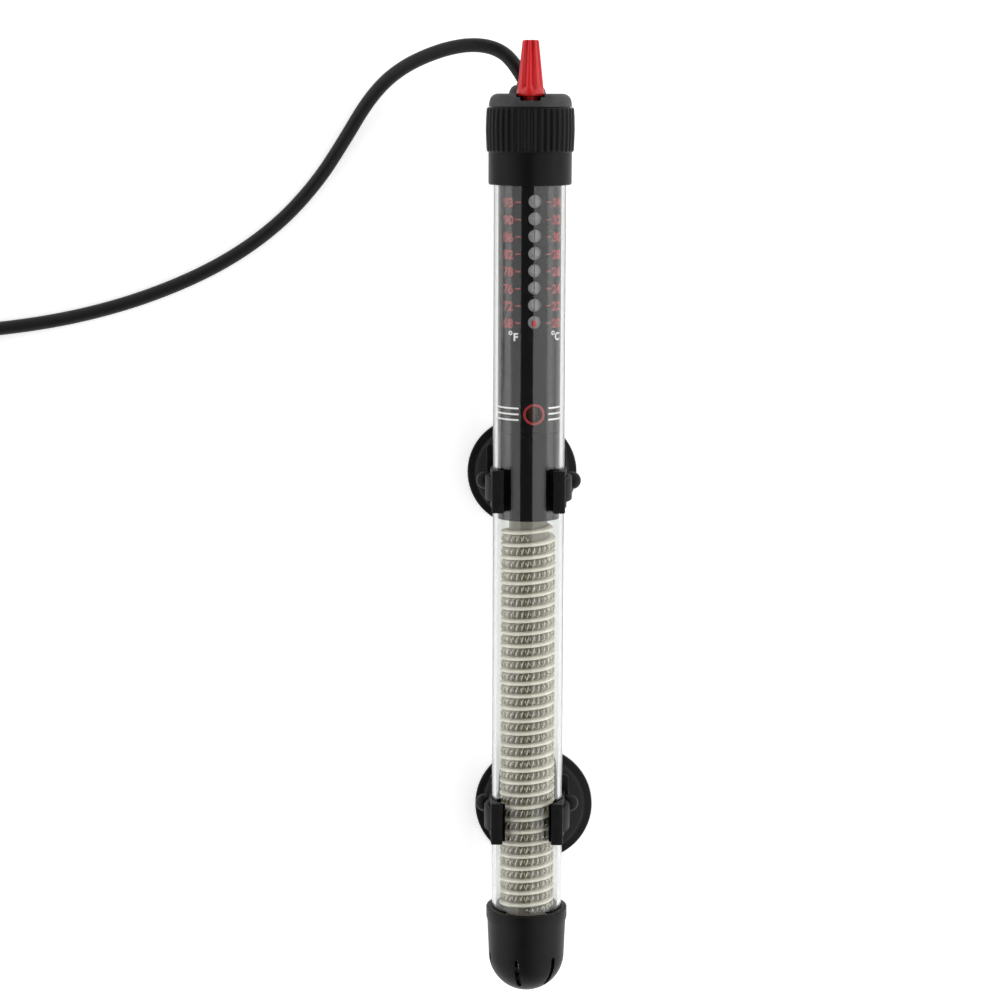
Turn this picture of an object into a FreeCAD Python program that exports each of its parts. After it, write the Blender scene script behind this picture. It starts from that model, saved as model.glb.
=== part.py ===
"""Submersible aquarium heater: sealed glass tube, dial thermostat, heating coil, two clip-on suction cups.

Millimetres. The heater lies on its suction cups: +Z up, the tube along Y with the knob end at +Y, and the
origin under the middle of the object on the surface that the cups rest on. A "station" is a distance along
the tube, measured from the flat top of the cap towards the closed end. "side" and "rise" are offsets from
the tube's axis along X and Z.
"""
import FreeCAD, Part
import math
import os

from FreeCAD import Rotation, Vector

# ---------------------------------------------------------------- driving dimensions
overall_length = 323.1        # knob tip to the dome of the end cap
axis_height = 29.0            # tube axis above the surface under the cups
tube_radius = 12.0
tube_wall = 1.3
glass_start = 8.2             # station of the tube's open end
glass_dome_start = 290.0      # station where the tube's round end begins

cap_corner_radius = 3.35      # rounding of the cap's top edge
cap_radius = 13.7
cap_height = 4.26             # cap top down to the knurled collar
spigot_radius = 12.95         # part of the cap that the collar screws onto
spigot_end = 23.5
collar_radius = 14.65
skirt_radius = 13.75
knurl_end = 19.05
collar_end = 29.66
knurl_ribs = 40

knob_length = 17.2            # knob above the cap's top face
knob_tip_radius = 2.7
knob_base_radius = 4.6
knob_flutes = 8
knob_first_rib = -8.0         # degrees from the front
knob_pocket_radius = 4.8
knob_pocket_depth = 2.3
knob_rise = 6.2               # knob axis in front of the tube's axis
spindle_radius = 1.5
spindle_end = 85.5
fit = 0.06                    # radial clearance of a shaft in its bearing

boss_radius = 6.2             # cord outlet on the cap
boss_height = 2.5
boss_crown = 0.6              # rise of the boss's rounded top above the outlet's edge
boss_side = -1.0
boss_rise = -6.5
outlet_lean = 30.0            # degrees that the outlet leans to the left
outlet_length = 2.5           # strain relief beyond the boss
cord_radius = 2.35

print_turn = 9.3              # degrees that the printed sleeve is turned about the tube's axis
sleeve_radius = 10.5
sleeve_bore = 9.5
sleeve_start = 20.2
sleeve_seam = 111.5
sleeve_end = 140.6
window_radius = 2.15
window_count = 8
first_window = 34.8
window_pitch = 5.64
lamp_station = 104.7
lamp_window_radius = 2.6
pointer_turns = 5             # turns of the knob from the lowest mark to the highest

ceramic_core_radius = 6.5
ceramic_radius = 9.4
ceramic_start = 140.4
ridge_start = 143.5
ceramic_end = 282.0
ridge_width = 1.2
coil_pitch = 4.30
ridge_turns = 31
coil_turns = 30
coil_centre_radius = 8.0
coil_radius = 1.35

guard_start = 276.2           # end cap: rim, collar step, straight wall, dome
guard_collar_end = 280.2
guard_collar_radius = 13.85
guard_radius = 13.45
guard_dome_radius = 12.95
guard_bore = 12.1
guard_slots = 6
guard_slot_width = 1.6
guard_first_slot = -14.5      # degrees from the front

clip_bore = 12.85
clip_radius = 14.6
clip_length = 8.0
jaw_length = 14.2
jaw_inner = 8.2               # half the mouth of the clip
jaw_outer = 12.2
jaw_height = 12.3             # jaw tips above the tube's axis
liner_gap = 0.05
liner_mouth = 7.4
liner_length = 13.0
pin_rise = -15.5
pin_radius = 1.5
pin_end_radius = 3.0
pin_half_length = 17.9
knuckle_inner = 7.5
knuckle_outer = 9.2
plate_width = 27.4
plate_long_side = 12.0        # plate's reach from the pin on the side that carries the cup
plate_short_side = 9.0
plate_bottom = 7.6            # height above the resting surface
plate_thickness = 2.2
ear_inner = 10.6
ear_outer = 12.4
ear_radius = 4.0
cup_radii = {"upper": 18.9, "lower": 20.6}
cup_neck_radius = 3.2
cup_gap = 0.25                # clearance of the cup's neck in the plate
cup_side = 1.5                # cup centre from the plate's centre
cup_reaches = {"upper": 1.05, "lower": 3.85}   # cup centre from the pin, both ends of the plate's slot
plate_shuffle = 0.8           # how far the plate has slid along the pin
holder_stations = {"upper": 130.5, "lower": 244.2}
holder_turns = {"upper": 0.0, "lower": 180.0}

turn_radii = (28.3, 23.6)     # cord coil: outer and inner column of turns
layer_height = 4.55
coil_layers = 4
cord_coil_centre = Vector(-224.0, 33.5, 0.0)
coil_turn_count = 7.25
plug_axis_height = 6.5
plug_relief_length = 12.0
plug_body_length = 24.0
plug_width = 19.0
blade_spacing = 12.7
blade_thickness = 1.5
blade_width = 6.35
blade_length = 16.0

# ---------------------------------------------------------------- derived places
cap_top = overall_length / 2 - knob_length
spigot_gap = 0.05
glass_bore = tube_radius - tube_wall
pointer_travel = window_pitch * (window_count - 1)
pointer_start = first_window + pointer_travel
screw_lead = pointer_travel / pointer_turns
outlet_direction = Vector(-math.sin(math.radians(outlet_lean)), math.cos(math.radians(outlet_lean)), 0)
boss_top = Vector(boss_side, cap_top + boss_height, axis_height + boss_rise)
cord_exit = boss_top + outlet_direction * outlet_length


# ---------------------------------------------------------------- shape helpers
def outline_face(points):
    """Flat face in the XZ plane. A point is (along, radius), or (via, via, to, to) for an arc."""
    edges = []
    here = points[0]
    for point in points[1:] + points[:1]:
        start = Vector(here[1], 0, here[0])
        end = Vector(point[-1], 0, point[-2])
        if len(point) == 4:
            edges.append(Part.Arc(start, Vector(point[1], 0, point[0]), end).toShape())
        elif start != end:
            edges.append(Part.LineSegment(start, end).toShape())
        here = point[-2:]
    return Part.Face(Part.Wire(edges))


def turned(points, origin, direction):
    """Solid of revolution of an outline about the line through origin along direction."""
    solid = outline_face(points).revolve(Vector(0, 0, 0), Vector(0, 0, 1), 360)
    solid.Placement = FreeCAD.Placement(origin, Rotation(Vector(0, 0, 1), direction))
    return solid


def coaxial(points, side=0.0, rise=0.0):
    """Turned solid on a line parallel to the tube; outline points are (station, radius)."""
    return turned(points, Vector(side, cap_top, axis_height + rise), Vector(0, -1, 0))


def rod(start, end, radius, side=0.0, rise=0.0):
    """Plain cylinder parallel to the tube between two stations."""
    return Part.makeCylinder(
        radius, end - start, Vector(side, cap_top - start, axis_height + rise), Vector(0, -1, 0)
    )


def block(sides, stations, rises):
    """Box between two sides, two stations and two rises."""
    corner = Vector(sides[0], cap_top - stations[1], axis_height + rises[0])
    return Part.makeBox(
        sides[1] - sides[0], stations[1] - stations[0], rises[1] - rises[0], corner
    )


def about_tube(shape, degrees):
    """Copy of a shape turned about the tube's axis, positive from the front towards +X."""
    copy = shape.copy()
    copy.rotate(Vector(0, 0, axis_height), Vector(0, 1, 0), degrees)
    return copy


def printed(shape):
    """A piece that shares the printed sleeve's turn about the tube."""
    return about_tube(shape, print_turn)


def dome(centre, radius):
    """Outline of a quarter circle from the wall to the pole, as one arc entry."""
    half = radius * math.sqrt(0.5)
    return (centre + half, half, centre + radius, 0)


def hollow_dome(centre, radius):
    """The same quarter circle, drawn from the pole back to the wall."""
    half = radius * math.sqrt(0.5)
    return (centre + half, half, centre, radius)


def rounded_path(points, label):
    """Straight runs joined by tangent arcs that are as large as the runs allow."""
    edges = []
    radii = []
    start = points[0]
    for before, corner, after in zip(points, points[1:], points[2:]):
        into = corner - before
        out = after - corner
        shorter = min(into.Length, out.Length)
        setback = 0.45 * shorter
        radii.append(setback / math.tan(into.getAngle(out) / 2))
        into.normalize()
        out.normalize()
        arc_start = corner - into * setback
        arc_end = corner + out * setback
        bisector = (out - into).normalize()
        half_turn = into.getAngle(out) / 2
        middle = corner + bisector * (radii[-1] / math.cos(half_turn) - radii[-1])
        edges.append(Part.LineSegment(start, arc_start).toShape())
        edges.append(Part.Arc(arc_start, middle, arc_end).toShape())
        start = arc_end
    edges.append(Part.LineSegment(start, points[-1]).toShape())
    if label:
        print(label, "arc radii:", " ".join("%.1f" % radius for radius in radii))
    return Part.Wire(edges)


def tube_along(points, radius, label=""):
    """Round bar that follows a rounded path."""
    path = rounded_path(points, label)
    section = Part.Wire(Part.makeCircle(radius, points[0], points[1] - points[0]))
    tube = path.makePipeShell([section], True, False)
    if label:
        expected = math.pi * radius ** 2 * path.Length
        print(label, "length %.1f, volume %.0f against %.0f" % (path.Length, tube.Volume, expected))
    return tube


def helical_bar(section, pitch, height, radius):
    """Section swept along a right-handed helix about Z that starts on the XZ plane."""
    helix = Part.Wire(Part.makeHelix(pitch, height, radius))
    return helix.makePipeShell([section], True, True)


def along_tube(shape, station):
    """Move a shape built along +Z so that it runs down the tube from a station."""
    shape.Placement = FreeCAD.Placement(
        Vector(0, cap_top - station, axis_height), Rotation(Vector(0, 0, 1), Vector(0, -1, 0))
    )
    return shape


# ---------------------------------------------------------------- cap, knob and cord outlet
def make_strain_relief():
    depth = 7.0
    tip = depth + outlet_length
    outline = [(0, 0), (0, 3.3), (depth, 3.3), (depth + 0.5, 3.1), (tip, cord_radius + 0.35), (tip, 0)]
    return turned(outline, boss_top - outlet_direction * depth, outlet_direction)


def make_cap_body():
    corner = cap_radius - 0.1
    body = coaxial([
        (0, 0),
        (0, corner - cap_corner_radius),
        (1.0, corner - 1.0, cap_corner_radius, corner),
        (cap_height, cap_radius),
        (cap_height, spigot_radius),
        (spigot_end, spigot_radius),
        (spigot_end, tube_radius + 0.1),
        (glass_start, tube_radius + 0.1),
        (glass_start, 0),
    ])
    boss_top_station = -boss_height - boss_crown
    boss = coaxial([
        (boss_top_station, 0),
        (boss_top_station, boss_radius - 3.6),
        (boss_top_station + 0.7, boss_radius - 1.7, 0, boss_radius),
        (1.0, boss_radius),
        (1.0, 0),
    ], boss_side, boss_rise)
    body = body.fuse(boss)
    pocket = rod(-1, knob_pocket_depth, knob_pocket_radius, rise=knob_rise)
    mouth_side = knob_pocket_radius - 0.1
    mouth = (-mouth_side, mouth_side)
    pocket_mouth = block(mouth, (-1, knob_pocket_depth), (knob_rise, cap_radius + 1))
    bearing = rod(0, glass_start, spindle_radius + fit, rise=knob_rise)
    seal_seat = rod(6.2, glass_start + 1, 3.3, rise=knob_rise)
    lead_hole = rod(3.0, glass_start + 1, 2.2, 2.5, boss_rise)
    return body.cut([pocket, pocket_mouth, bearing, seal_seat, lead_hole, make_strain_relief()])


def make_cap_collar():
    mid = (cap_height + knurl_end) / 2
    top = cap_height + 0.14
    collar = coaxial([
        (top, spigot_radius + spigot_gap),
        (top, collar_radius - 0.8),
        (top + 0.5, collar_radius - 0.3),
        (mid, collar_radius, knurl_end - 0.5, collar_radius - 0.3),
        (knurl_end, collar_radius - 0.7),
        (knurl_end, skirt_radius),
        (collar_end - 0.5, skirt_radius),
        (collar_end, skirt_radius - 0.5),
        (collar_end, tube_radius + 0.15),
        (collar_end - 2.2, tube_radius + 0.15),
        (collar_end - 2.2, spigot_radius + spigot_gap),
    ])
    groove = rod(top + 0.6, knurl_end - 0.6, 0.45, rise=collar_radius + 0.05)
    grooves = [about_tube(groove, 360 / knurl_ribs * rib) for rib in range(knurl_ribs)]
    return collar.cut(grooves)


def make_gasket():
    return coaxial([
        (spigot_end + 0.1, tube_radius + 0.05),
        (spigot_end + 0.1, spigot_radius),
        (collar_end - 2.3, spigot_radius),
        (collar_end - 2.3, tube_radius + 0.05),
    ])


def make_stopper():
    stopper = coaxial([
        (glass_start, 0),
        (glass_start, glass_bore - 0.05),
        (sleeve_start - 0.2, glass_bore - 0.05),
        (sleeve_start - 0.2, 0),
    ])
    spindle_hole = rod(glass_start, sleeve_start, spindle_radius + fit, rise=knob_rise)
    lead_hole = rod(glass_start, sleeve_start, 2.0, 2.5, boss_rise)
    return stopper.cut([spindle_hole, lead_hole])


def make_knob():
    tip = -knob_length
    seat = 0.9
    blind = -12.0
    knob = coaxial([
        (tip, 0),
        (tip, knob_tip_radius - 0.5),
        (tip + 0.5, knob_tip_radius),
        (-1.2, knob_base_radius - 0.3),
        (-0.6, knob_base_radius),
        (seat, knob_base_radius),
        (seat + 0.8, 3.4),
        (knob_pocket_depth - 0.15, 3.15),
        (knob_pocket_depth - 0.15, spindle_radius),
        (blind, spindle_radius),
        (blind, 0),
    ], rise=knob_rise)
    top = Vector(0, cap_top + knob_length + 1, axis_height + knob_rise + knob_tip_radius + 0.35)
    bottom = Vector(0, cap_top + 2.1, axis_height + knob_rise + knob_base_radius - 0.1)
    flute = Part.makeCylinder(0.8, (top - bottom).Length, bottom, top - bottom)
    flutes = []
    for index in range(knob_flutes):
        cutter = flute.copy()
        angle = knob_first_rib + 360 / knob_flutes * (index + 0.5)
        cutter.rotate(Vector(0, 0, axis_height + knob_rise), Vector(0, 1, 0), angle)
        flutes.append(cutter)
    return knob.cut(flutes)


def make_spindle():
    screw_start = 26.0
    shaft = coaxial([
        (-12, 0),
        (-12, spindle_radius),
        (spindle_end, spindle_radius),
        (spindle_end, 1.0),
        (spindle_end + 2.5, 1.0),
        (spindle_end + 2.5, 0),
    ], rise=knob_rise)
    section = Part.Wire(Part.makeCircle(0.35, Vector(spindle_radius + 0.1, 0, 0), Vector(0, 1, 0)))
    thread = helical_bar(section, screw_lead, spindle_end - screw_start - 2, spindle_radius + 0.1)
    thread.Placement = FreeCAD.Placement(
        Vector(0, cap_top - screw_start, axis_height + knob_rise),
        Rotation(Vector(0, 0, 1), Vector(0, -1, 0)),
    )
    return shaft.cut(thread)


def make_spindle_seal():
    ring = Part.makeTorus(spindle_radius + 0.9, 0.85)
    ring.Placement = FreeCAD.Placement(
        Vector(0, cap_top - 7.2, axis_height + knob_rise), Rotation(Vector(0, 0, 1), Vector(0, 1, 0))
    )
    return ring


# ---------------------------------------------------------------- glass and printed sleeves
def make_glass_tube():
    return coaxial([
        (glass_start, glass_bore),
        (glass_start, tube_radius),
        (glass_dome_start, tube_radius),
        dome(glass_dome_start, tube_radius),
        (glass_dome_start + glass_bore, 0),
        hollow_dome(glass_dome_start, glass_bore),
    ])


def make_scale_sleeve():
    sleeve = rod(sleeve_start, sleeve_seam - 0.1, sleeve_radius)
    cutters = [rod(sleeve_start - 1, sleeve_seam + 1, sleeve_bore)]
    stations = [first_window + window_pitch * index for index in range(window_count)]
    openings = [(station, window_radius) for station in stations]
    openings.append((lamp_station, lamp_window_radius))
    for station, radius in openings:
        start = Vector(0, cap_top - station, axis_height + sleeve_bore - 2)
        cutters.append(printed(Part.makeCylinder(radius, 5, start, Vector(0, 0, 1))))
    return sleeve.cut(cutters)


def make_lower_sleeve():
    sleeve = rod(sleeve_seam + 0.1, sleeve_end, sleeve_radius - 0.15)
    bore = rod(sleeve_seam, sleeve_end + 1, sleeve_bore)
    notch = block((-12, 12), (sleeve_seam, sleeve_seam + 4.5), (-1.2, 1.2))
    return sleeve.cut([bore, notch])


# ---------------------------------------------------------------- thermostat
board_top = -0.8
bimetal_rise = 1.6


def make_pointer_guide():
    strip = block((-3.2, 3.2), (25, 87), (7.9, 8.4))
    upper_wall = block((-3.6, 3.6), (22.5, 25), (board_top, 8.4))
    lower_wall = block((-3.6, 3.6), (spindle_end + 0.2, 89), (board_top, 8.4))
    slot = block((-0.6, 0.6), (first_window - 5, pointer_start + 4), (7, 9))
    guide = printed(strip.fuse([upper_wall, lower_wall]).cut(slot))
    upper_bearing = rod(22, 26, spindle_radius + fit, rise=knob_rise)
    lower_bearing = rod(85, 90, 1.0 + fit, rise=knob_rise)
    return guide.cut([upper_bearing, lower_bearing])


def make_pointer():
    nut = printed(block((-3.4, 1.5), (pointer_start - 2.5, pointer_start + 2.5), (4.2, 7.75)))
    stem = printed(block((-0.4, 0.4), (pointer_start - 1.5, pointer_start + 1.5), (7.5, 8.6)))
    flag_base = Vector(0, cap_top - pointer_start, axis_height + 8.5)
    flag = printed(Part.makeCylinder(1.55, 0.5, flag_base, Vector(0, 0, 1)))
    bore = rod(pointer_start - 4, pointer_start + 4, spindle_radius + fit, rise=knob_rise)
    return nut.fuse([stem, flag]).cut(bore)


def make_board():
    return printed(block((-8, 8), (22.5, 138.8), (board_top - 1.2, board_top)))


def make_bimetal():
    return printed(block((-2.5, 2.5), (92, 134), (bimetal_rise, bimetal_rise + 0.6)))


def make_bimetal_post():
    return printed(block((-3, 3), (128, 134), (board_top, bimetal_rise)))


def make_contacts():
    solids = []
    for low, high in ((board_top, bimetal_rise - 1.0), (bimetal_rise - 0.9, bimetal_rise)):
        base = Vector(0, cap_top - 96, axis_height + low)
        solids.append(printed(Part.makeCylinder(1.2, high - low, base, Vector(0, 0, 1))))
    return Part.makeCompound(solids)


def make_magnet():
    return printed(block((-2.5, 2.5), (101, 106), (board_top, bimetal_rise - 0.5)))


def make_lamp():
    radius = 2.2
    centre = 5.0
    half = radius * math.sqrt(0.5)
    lamp = coaxial([
        (-centre, 0),
        (radius - centre - half, half, radius - centre, radius),
        (centre - radius, radius),
        (centre - radius + half, half, centre, 0),
    ], rise=6.4)
    lamp.translate(Vector(0, -lamp_station, 0))
    return printed(lamp)


def make_lamp_cradle():
    legs = [block((side - 0.6, side + 0.6), (107, 110), (board_top, 4.15)) for side in (-3.8, 3.8)]
    bridge = block((-4.4, 4.4), (107, 110), (3.0, 4.15))
    return printed(bridge.fuse(legs))


def make_resistor():
    resistor = coaxial([
        (112, 0), (112, 0.3), (116, 0.3), (116, 1.3), (123, 1.3), (123, 0.3), (127, 0.3), (127, 0),
    ], 6.0, 0.6)
    return printed(resistor)


def make_lead_wires():
    base = 5.0
    wires = []
    for side, last in ((1.6, ceramic_start - 0.6), (3.4, 58.0)):
        start = Vector(side, cap_top - base, axis_height + boss_rise)
        end = Vector(side, cap_top - last, axis_height + boss_rise)
        wires.append(Part.makeCylinder(0.7, (end - start).Length, start, end - start))
    return Part.makeCompound(wires)


def make_heat_shield():
    shield = rod(ceramic_start - 1.2, ceramic_start - 0.2, sleeve_bore - 0.1)
    wire_hole = rod(ceramic_start - 2, ceramic_start, 0.9, 1.6, boss_rise)
    return shield.cut(wire_hole)


# ---------------------------------------------------------------- heating element
def make_ceramic():
    core = coaxial([
        (ceramic_start, 2.2),
        (ceramic_start, ceramic_core_radius),
        (ceramic_end - 1.0, ceramic_core_radius),
        (ceramic_end - 1.0, ceramic_radius),
        (ceramic_end, ceramic_radius),
        (ceramic_end, 2.2),
    ])
    inner = ceramic_core_radius - 0.3
    half = ridge_width / 2
    corners = [
        Vector(inner, 0, -half), Vector(ceramic_radius, 0, -half),
        Vector(ceramic_radius, 0, half), Vector(inner, 0, half), Vector(inner, 0, -half),
    ]
    section = Part.makePolygon(corners)
    ridge = helical_bar(section, coil_pitch, coil_pitch * ridge_turns, ceramic_radius)
    return core.fuse(along_tube(ridge, ridge_start))


def make_heating_coil():
    slope = Vector(0, 2 * math.pi * coil_centre_radius, coil_pitch)
    section = Part.Wire(Part.makeCircle(coil_radius, Vector(coil_centre_radius, 0, 0), slope))
    coil = helical_bar(section, coil_pitch, coil_pitch * coil_turns, coil_centre_radius)
    return about_tube(along_tube(coil, ridge_start + coil_pitch * 0.75), -90)


def make_terminals():
    posts = [rod(ceramic_start + 0.6, ridge_start - 0.8, 1.0, side, -7.4) for side in (-3.0, 3.0)]
    return Part.makeCompound(posts)


def make_end_spacer():
    return coaxial([
        (ceramic_end + 0.1, 2.2),
        (ceramic_end + 0.1, glass_bore - 0.1),
        (ceramic_end + 1.1, glass_bore - 0.1),
        (ceramic_end + 1.1, 2.2),
    ])


# ---------------------------------------------------------------- end cap
def make_bottom_cap():
    dome_centre = cap_top + overall_length / 2 - guard_dome_radius
    bore_centre = dome_centre - 0.8
    cap = coaxial([
        (guard_start, guard_bore),
        (guard_start, guard_collar_radius - 0.3),
        (guard_start + 0.3, guard_collar_radius),
        (guard_collar_end, guard_collar_radius),
        (guard_collar_end + 0.4, guard_radius),
        (dome_centre, guard_dome_radius),
        dome(dome_centre, guard_dome_radius),
        (bore_centre + guard_bore, 0),
        hollow_dome(bore_centre, guard_bore),
    ])
    half = guard_slot_width / 2
    slot = block((-half, half), (dome_centre - 1.0, dome_centre + 9.6), (4.0, 14.0))
    step = 360 / guard_slots
    return cap.cut([about_tube(slot, guard_first_slot + step * index) for index in range(guard_slots)])


def make_cushion():
    glass = tube_radius + 0.05
    bore = guard_bore - 0.05
    bore_centre = cap_top + overall_length / 2 - guard_dome_radius - 0.8
    edge = 5.0
    middle = 2.5
    return coaxial([
        (glass_dome_start + glass, 0),
        (glass_dome_start + math.sqrt(glass ** 2 - middle ** 2), middle,
         glass_dome_start + math.sqrt(glass ** 2 - edge ** 2), edge),
        (bore_centre + math.sqrt(bore ** 2 - edge ** 2), edge),
        (bore_centre + math.sqrt(bore ** 2 - middle ** 2), middle, bore_centre + bore, 0),
    ])


# ---------------------------------------------------------------- suction-cup holders
def make_liner(station):
    stations = (station - liner_length / 2, station + liner_length / 2)
    ring = rod(stations[0], stations[1], clip_bore - liner_gap)
    bore = rod(stations[0] - 1, stations[1] + 1, tube_radius + liner_gap)
    mouth = block((-liner_mouth, liner_mouth), (stations[0] - 1, stations[1] + 1), (0, 20))
    return ring.cut([bore, mouth])


def make_clip(station):
    band = (station - clip_length / 2, station + clip_length / 2)
    jaws = (station - jaw_length / 2, station + jaw_length / 2)
    solid = rod(band[0], band[1], clip_radius)
    solid = solid.cut(block((-jaw_inner, jaw_inner), (band[0] - 1, band[1] + 1), (0, 20)))
    for side in (-1, 1):
        sides = sorted((side * jaw_inner, side * jaw_outer))
        solid = solid.fuse(block(sides, jaws, (5.5, jaw_height)))
        knuckle_sides = sorted((side * knuckle_inner, side * knuckle_outer))
        web = block(knuckle_sides, (station - pin_end_radius, station + pin_end_radius), (pin_rise, -11))
        eye = Part.makeCylinder(
            pin_end_radius, knuckle_outer - knuckle_inner,
            Vector(knuckle_sides[0], cap_top - station, axis_height + pin_rise), Vector(1, 0, 0),
        )
        solid = solid.fuse([web, eye])
    bore = rod(jaws[0] - 1, jaws[1] + 1, clip_bore)
    pin = Part.makeCylinder(
        pin_radius, 2 * pin_half_length,
        Vector(-pin_half_length, cap_top - station, axis_height + pin_rise), Vector(1, 0, 0),
    )
    return solid.cut([bore, pin])


def make_pin(station):
    round_start = pin_half_length - pin_end_radius
    shoulder = round_start - 1.2
    half = pin_end_radius * math.sqrt(0.5)
    outline = [
        (-pin_half_length, 0),
        (-round_start - half, half, -round_start, pin_end_radius),
        (-shoulder, pin_end_radius),
        (-shoulder, pin_radius),
        (shoulder, pin_radius),
        (shoulder, pin_end_radius),
        (round_start, pin_end_radius),
        (round_start + half, half, pin_half_length, 0),
    ]
    centre = Vector(0, cap_top - station, axis_height + pin_rise)
    return turned(outline, centre, Vector(1, 0, 0))


def placed_holder(shape, station, degrees):
    """Turn a holder piece that was built about the pin's middle, and put it at its station."""
    shape.rotate(Vector(0, 0, 0), Vector(0, 0, 1), degrees)
    shape.translate(Vector(0, cap_top - station, 0))
    return shape


def make_cup_carrier(station, degrees):
    """Plate with a slot for the cup's neck, so that the cup can sit anywhere between the slot's ends."""
    pin_height = axis_height + pin_rise
    plate_top = plate_bottom + plate_thickness
    plate = Part.makeBox(
        plate_width, plate_short_side + plate_long_side, plate_thickness,
        Vector(-plate_width / 2 - plate_shuffle, -plate_short_side, plate_bottom),
    )
    for low in (-ear_outer - plate_shuffle, ear_inner - plate_shuffle):
        wide = ear_outer - ear_inner
        web = Part.makeBox(wide, 2 * ear_radius, pin_height - plate_bottom - 1,
                           Vector(low, -ear_radius, plate_top - 1))
        eye = Part.makeCylinder(ear_radius, wide, Vector(low, 0, pin_height), Vector(1, 0, 0))
        plate = plate.fuse([web, eye])
    pin_hole = Part.makeCylinder(
        pin_radius + fit, 60, Vector(-30, 0, pin_height), Vector(1, 0, 0)
    )
    slot_side = -cup_side - plate_shuffle
    slot_radius = cup_neck_radius + cup_gap
    slot_ends = [
        Part.makeCylinder(slot_radius, 10, Vector(slot_side, reach, 0), Vector(0, 0, 1))
        for reach in cup_reaches.values()
    ]
    slot_middle = Part.makeBox(
        2 * slot_radius, max(cup_reaches.values()) - min(cup_reaches.values()), 10,
        Vector(slot_side - slot_radius, min(cup_reaches.values()), 0),
    )
    return placed_holder(plate.cut([pin_hole, slot_middle, *slot_ends]), station, degrees)


def make_suction_cup(station, degrees, cup_radius, cup_reach):
    plate_top = plate_bottom + plate_thickness
    head = cup_neck_radius + 1.1
    outline = [
        (0, cup_radius - 1.2),
        (0, cup_radius - 0.2),
        (0.2, cup_radius),
        (1.2, cup_radius),
        (1.9, cup_radius - 3.2),
        (2.6, cup_radius - 3.6),
        (3.7, cup_radius - 7.5),
        (4.4, cup_radius - 8.0),
        (6.2, 6.8),
        (plate_bottom - cup_gap, 6.0),
        (plate_bottom - cup_gap, cup_neck_radius),
        (plate_top + cup_gap, cup_neck_radius),
        (plate_top + cup_gap, head),
        (plate_top + 0.9, head),
        (plate_top + 2.1, 2.6),
        (plate_top + 2.1, 0),
        (3.4, 0),
        (2.5, cup_radius / 2, 0, cup_radius - 1.2),
    ]
    centre = Vector(-cup_side - plate_shuffle, cup_reach, 0)
    return placed_holder(turned(outline, centre, Vector(0, 0, 1)), station, degrees)


# ---------------------------------------------------------------- power cord
floor_rise = cord_radius
coil_entry = cord_coil_centre + Vector(14.0, turn_radii[0], floor_rise)
cord_route = [
    cord_exit,
    cord_exit + outlet_direction * 6.8,
    Vector(-11.2, 159.1, 21.7),
    Vector(-18.7, 160.9, 19.9),
    Vector(-26.8, 159.3, 17.0),
    Vector(-34.8, 156.7, 13.7),
    Vector(-42.4, 153.1, 10.2),
    Vector(-49.4, 147.9, 6.9),
    Vector(-56.0, 140.1, 4.2),
    Vector(-62.9, 128.7, 2.7),
    Vector(-72.3, 114.3, floor_rise),
    Vector(-86.2, 99.4, floor_rise),
    Vector(-105.2, 86.2, floor_rise),
    Vector(-129.0, 75.6, floor_rise),
    Vector(-154.3, 68.2, floor_rise),
    Vector(-181.0, 63.8, floor_rise),
    coil_entry,
]
top_layer = floor_rise + layer_height * (coil_layers - 1)
tail_start = cord_coil_centre + Vector(-turn_radii[0], -8.0, top_layer - 0.2)
tail_route = [
    tail_start,
    tail_start + Vector(-0.6, -11.0, -1.2),
    tail_start + Vector(-0.6, -22.0, -4.4),
    tail_start + Vector(0.2, -33.0, -7.9),
    Vector(tail_start.x + 1.0, tail_start.y - 44.0, plug_axis_height),
    Vector(tail_start.x + 1.0, tail_start.y - 54.0, plug_axis_height),
]


def make_cord_coil():
    """Closed solid of the outer shape of the wound turns."""
    inner = turn_radii[1] - cord_radius
    outer = turn_radii[0] + cord_radius
    top = top_layer + cord_radius
    corner = cord_radius * (1 - math.sqrt(0.5))
    outline = [
        (0, inner + cord_radius),
        (0, outer - cord_radius),
        (corner, outer - corner, cord_radius, outer),
        (top - cord_radius, outer),
        (top - corner, outer - corner, top, outer - cord_radius),
        (top, inner + cord_radius),
        (top - corner, inner + corner, top - cord_radius, inner),
        (cord_radius, inner),
        (corner, inner + corner, 0, inner + cord_radius),
    ]
    return turned(outline, cord_coil_centre, Vector(0, 0, 1))


def make_cord_tie():
    inner = turn_radii[1] - cord_radius - 0.1
    outer = turn_radii[0] + cord_radius + 0.1
    top = top_layer + cord_radius + 0.1
    wall = 0.7
    wide = 4.0
    low = cord_coil_centre + Vector(inner - wall, -wide / 2, 0)
    band = Part.makeBox(outer - inner + 2 * wall, wide, top + wall, low)
    window = Part.makeBox(outer - inner, wide + 2, top - 0.5, low + Vector(wall, -1, 0.5))
    tab = Part.makeBox(7.0, wide, wall, low + Vector(outer - inner + wall, 0, top * 0.6))
    return band.cut(window).fuse(tab)


def make_plug_body():
    """Moulded plug with its tapered relief, lying flat with its blades pointing to -Y."""
    entry = tail_route[-1]
    relief = turned([
        (0, 0),
        (0, cord_radius + 0.5),
        (plug_relief_length + 2, 4.6),
        (plug_relief_length + 2, 0),
    ], entry, Vector(0, -1, 0))
    body_start = entry.y - plug_relief_length
    body = Part.makeBox(
        plug_width, plug_body_length, 2 * plug_axis_height,
        Vector(entry.x - plug_width / 2, body_start - plug_body_length, 0),
    )
    along = [edge for edge in body.Edges if abs(edge.tangentAt(edge.FirstParameter).y) > 0.9]
    return body.makeFillet(3.0, along).fuse(relief)


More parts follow.
